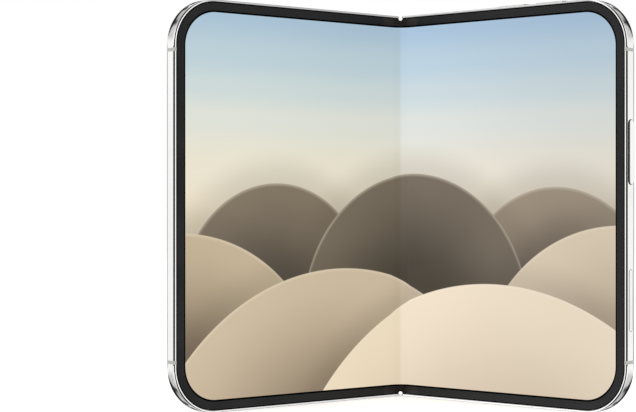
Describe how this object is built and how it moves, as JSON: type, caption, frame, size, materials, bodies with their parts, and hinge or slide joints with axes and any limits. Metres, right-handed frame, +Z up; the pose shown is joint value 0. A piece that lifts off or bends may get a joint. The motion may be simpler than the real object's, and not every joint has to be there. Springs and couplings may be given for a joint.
{
  "type": "foldable smartphone",
  "caption": "Book-style foldable phone standing half open on its edges, with a geared hinge, inner flexible display and raised camera bar.",
  "frame": {"origin": "centre of the bounding box on the floor plane, under the half-open phone", "axes": "+Z up along the fold; the displays face -Y and open toward it; +X toward the free edge of the half with the cameras"},
  "size_m": [0.136, 0.0553, 0.1221],
  "materials": {
    "polished_frame": "mirror-polished silver metal",
    "hinge_steel": "satin hinge steel",
    "brass": "plain brass",
    "display": "flexible display that shows a calm landscape picture",
    "bezel": "soft black satin bezel",
    "inner_aluminium": "blasted aluminium",
    "antenna": "pale grey moulded plastic",
    "cover_glass": "glossy black cover glass, screen off",
    "cover_panel": "black display panel, off",
    "lens_black": "coated black lens glass",
    "battery": "wrapped pouch cell",
    "circuit_board": "solder-masked board with shield cans",
    "module_black": "moulded black module",
    "magnet": "nickel plated",
    "rear_glass": "frosted white glass",
    "flash": "pale diffuser",
    "port_shell": "drawn steel shell"
  },
  "bodies": {
    "spine": {"spine_cover": "polished_frame", "hinge_block_top": "hinge_steel", "hinge_block_bottom": "hinge_steel", "hinge_pins": "hinge_steel", "centre_support": "hinge_steel", "friction_washers": "brass", "spine_screws": "hinge_steel", "fold_display_left": "display", "fold_display_right": "display", "fold_bezel_left": "bezel", "fold_bezel_right": "bezel"},
    "right_half": {"right_frame": "polished_frame", "right_mid_plate": "inner_aluminium", "right_antenna_bands": "antenna", "rear_glass": "rear_glass", "rear_gasket": "bezel", "camera_plateau": "rear_glass", "camera_rings": "polished_frame", "camera_windows": "lens_black", "camera_modules": "module_black", "flash_window": "flash", "right_battery": "battery", "main_board": "circuit_board", "usb_port": "port_shell", "bottom_speaker": "module_black", "haptic_motor": "magnet", "right_bezel": "bezel", "right_display": "display", "right_hinge_arms": "hinge_steel", "right_arm_screws": "hinge_steel", "right_wing_rod": "hinge_steel", "right_magnets": "magnet"},
    "left_half": {"left_frame": "polished_frame", "left_mid_plate": "inner_aluminium", "left_antenna_bands": "antenna", "cover_glass": "cover_glass", "cover_gasket": "bezel", "cover_display": "cover_panel", "cover_camera": "lens_black", "left_battery": "battery", "left_board": "circuit_board", "earpiece": "module_black", "left_bezel": "bezel", "left_display": "display", "left_hinge_arms": "hinge_steel", "left_arm_screws": "hinge_steel", "left_wing_rod": "hinge_steel", "left_magnets": "magnet"},
    "idler_right": {"idler_gears_right": "brass"},
    "idler_left": {"idler_gears_left": "brass"},
    "right_wing": {"right_wing_plate": "inner_aluminium"},
    "left_wing": {"left_wing_plate": "inner_aluminium"},
    "power_key": {"power_button": "polished_frame"},
    "camera_key": {"camera_control": "polished_frame"},
    "volume_up_key": {"volume_up_button": "polished_frame"},
    "volume_down_key": {"volume_down_button": "polished_frame"}
  },
  "joints": [
    {"name": "fold_right", "type": "hinge", "parent": "spine", "child": "right_half", "pos_m": [0.0026, 0.02438, 0.06085], "axis": [0, 0, -1], "range_deg": [-38, 52], "deforming": ["fold_display_right", "fold_bezel_right"]},
    {"name": "fold_left", "type": "hinge", "parent": "spine", "child": "left_half", "pos_m": [-0.0026, 0.02438, 0.06085], "axis": [0, 0, 1], "range_deg": [-38, 52], "deforming": ["fold_display_left", "fold_bezel_left"]},
    {"name": "idler_right_turn", "type": "hinge", "parent": "spine", "child": "idler_right", "pos_m": [0.00087, 0.02438, 0.0073], "axis": [0, 0, 1], "range_deg": [-38, 52]},
    {"name": "idler_left_turn", "type": "hinge", "parent": "spine", "child": "idler_left", "pos_m": [-0.00087, 0.02438, 0.0073], "axis": [0, 0, -1], "range_deg": [-38, 52]},
    {"name": "wing_right_tilt", "type": "hinge", "parent": "right_half", "child": "right_wing", "pos_m": [0.00647, 0.01958, 0.06085], "axis": [0, 0, -1], "range_deg": [-5.7, 7.8]},
    {"name": "wing_left_tilt", "type": "hinge", "parent": "left_half", "child": "left_wing", "pos_m": [-0.00647, 0.01958, 0.06085], "axis": [0, 0, 1], "range_deg": [-5.7, 7.8]},
    {"name": "power_press", "type": "slide", "parent": "right_half", "child": "power_key", "axis": [-0.788, 0.6157, 0], "range_m": [0, 0.00025], "stiffness_N_per_m": 600},
    {"name": "camera_control_press", "type": "slide", "parent": "right_half", "child": "camera_key", "axis": [-0.788, 0.6157, 0], "range_m": [0, 0.00015], "stiffness_N_per_m": 600},
    {"name": "volume_up_press", "type": "slide", "parent": "right_half", "child": "volume_up_key", "axis": [0, 0, -1], "range_m": [0, 0.00025], "stiffness_N_per_m": 600},
    {"name": "volume_down_press", "type": "slide", "parent": "right_half", "child": "volume_down_key", "axis": [0, 0, -1], "range_m": [0, 0.00025], "stiffness_N_per_m": 600}
  ],
  "couplings": [
    {"joint": "fold_left", "follows": "fold_right", "ratio": 1},
    {"joint": "idler_right_turn", "follows": "fold_right", "ratio": 1},
    {"joint": "idler_left_turn", "follows": "fold_right", "ratio": 1},
    {"joint": "wing_right_tilt", "follows": "fold_right", "ratio": 0.15},
    {"joint": "wing_left_tilt", "follows": "fold_right", "ratio": 0.15}
  ]
}
